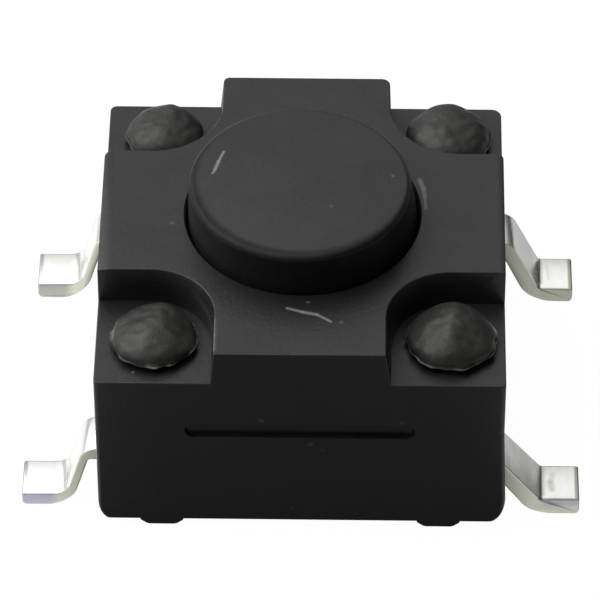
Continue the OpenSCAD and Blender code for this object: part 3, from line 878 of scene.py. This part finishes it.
def makeFloor():
    bm = bmesh.new()
    bmesh.ops.create_grid(bm, x_segments=1, y_segments=1, size=studio["floorSize"])
    floor = asObject(bm, "floor")
    floor.data.transform(Matrix.Scale(mm, 4))
    material = bpy.data.materials.new("paleFloor")
    material.use_nodes = True
    tree = material.node_tree
    tree.nodes.clear()
    light = addNode(tree, "ShaderNodeLightPath").outputs
    tone = rangeNode(tree, light["Is Diffuse Ray"], 0.0, 1.0, studio["floorTone"], studio["floorBounce"])
    tone = rangeNode(tree, light["Is Glossy Ray"], 0.0, 1.0, tone, studio["floorMirrored"])
    paper = addNode(tree, "ShaderNodeBsdfDiffuse", {"Color": tone}).outputs[0]
    white = addNode(tree, "ShaderNodeEmission", {"Color": (1, 1, 1, 1), "Strength": studio["floorLight"]})
    # the light comes from behind on the left: as seen in reflections, the floor is painted darker in front
    # and on the right, as painted shade of the object
    spot = splitVector(tree, coordinates(tree, "Object"))
    near, far = studio["glossEdge"]
    gloss = studio["glossFront"]
    for side, tone in ((-1, studio["glossLeft"]), (1, studio["glossRight"])):
        beside = rampNode(tree, spot["X"], (side * near, side * far), smooth=True)
        tone = rangeNode(tree, spot["Y"], studio["glossBehind"][0] * mm, studio["glossBehind"][1] * mm,
                         studio["glossAhead"] - studio["glossFront"], tone - studio["glossFront"], True)
        gloss = mathNode(tree, "ADD", gloss, mathNode(tree, "MULTIPLY", beside, tone))
    direct = mathNode(tree, "ADD", light["Is Camera Ray"], light["Is Transmission Ray"], clamp=True)
    share = mathNode(tree, "ADD", mathNode(tree, "MULTIPLY", direct, studio["floorSeen"]),
                     mathNode(tree, "MULTIPLY", light["Is Glossy Ray"], gloss), clamp=True)
    mixed = addNode(tree, "ShaderNodeMixShader", {0: share, 1: paper, 2: white.outputs[0]})
    addNode(tree, "ShaderNodeOutputMaterial", {"Surface": mixed.outputs[0]})
    floor.data.materials.append(material)


def makeWorld():
    world = bpy.data.worlds.new("studioWorld")
    bpy.context.scene.world = world
    world.use_nodes = True
    tree = world.node_tree
    tree.nodes.clear()
    light = addNode(tree, "ShaderNodeLightPath").outputs
    toward = coordinates(tree, "Generated")
    facing = vectorNode(tree, "DOT_PRODUCT", toward, Vector(studio["brightSide"]).normalized())
    sky = rangeNode(tree, facing, *studio["skyEdge"], studio["skyDim"], 1.0, smooth=True)
    way = splitVector(tree, toward)
    low = rangeNode(tree, way["Z"], *studio["horizon"], studio["horizonDim"], 1.0, smooth=True)
    sky = mathNode(tree, "MULTIPLY", sky, low)
    lowBehind = mathNode(tree, "SUBTRACT", way["Y"], way["Z"])
    dim = rangeNode(tree, lowBehind, *studio["backLow"], 1.0, studio["backDim"], smooth=True)
    sky = mathNode(tree, "MULTIPLY", sky, dim)
    seen = mathNode(tree, "ADD", light["Is Glossy Ray"], light["Is Transmission Ray"], clamp=True)
    gleam = mathNode(tree, "MULTIPLY", sky, rangeNode(tree, seen, 0.0, 1.0, studio["worldDiffuse"], 1.0))
    strength = mathNode(tree, "MAXIMUM", gleam, light["Is Camera Ray"])
    back = addNode(tree, "ShaderNodeBackground", {"Color": (1, 1, 1, 1), "Strength": strength})
    addNode(tree, "ShaderNodeOutputWorld", {"Surface": back.outputs[0]})


def addLamp(name, place, target, size, power):
    lamp = bpy.data.lights.new(name, "AREA")
    lamp.shape = "SQUARE"
    lamp.size = size * mm
    lamp.energy = power
    made = bpy.data.objects.new(name, lamp)
    bpy.context.scene.collection.objects.link(made)
    made.location = Vector(place) * mm
    made.rotation_euler = (Vector(target) - Vector(place)).to_track_quat("-Z", "Y").to_euler()


makeFloor()
makeWorld()
addLamp("keyLamp", (-75, 32, 100), (0, 0, 2), 140, 0.13)

camera = {"aim": (-0.045, 0.038, 1.769), "distance": 74.78, "elevation": 44.36, "turn": 1.03, "roll": 0.15,
          "lens": 296.8, "sensor": 36.0}


def makeCamera():
    lift = math.radians(camera["elevation"])
    turn = math.radians(camera["turn"])
    forward = Vector((-math.sin(turn) * math.cos(lift), math.cos(turn) * math.cos(lift), -math.sin(lift)))
    right = Vector((math.cos(turn), math.sin(turn), 0))
    up = right.cross(forward)
    roll = Matrix.Rotation(math.radians(-camera["roll"]), 3, "Z")
    facing = Matrix((right, up, -forward)).transposed() @ roll
    lens = bpy.data.cameras.new("viewCamera")
    lens.lens = camera["lens"]
    lens.sensor_width = camera["sensor"]
    lens.clip_start = 1 * mm
    lens.clip_end = 2000 * mm
    made = bpy.data.objects.new("viewCamera", lens)
    bpy.context.scene.collection.objects.link(made)
    spot = (Vector(camera["aim"]) - forward * camera["distance"]) * mm
    made.matrix_world = Matrix.Translation(spot) @ facing.to_4x4()
    bpy.context.scene.camera = made


makeCamera()
bpy.context.scene.view_settings.view_transform = "Standard"
print("studio ready")
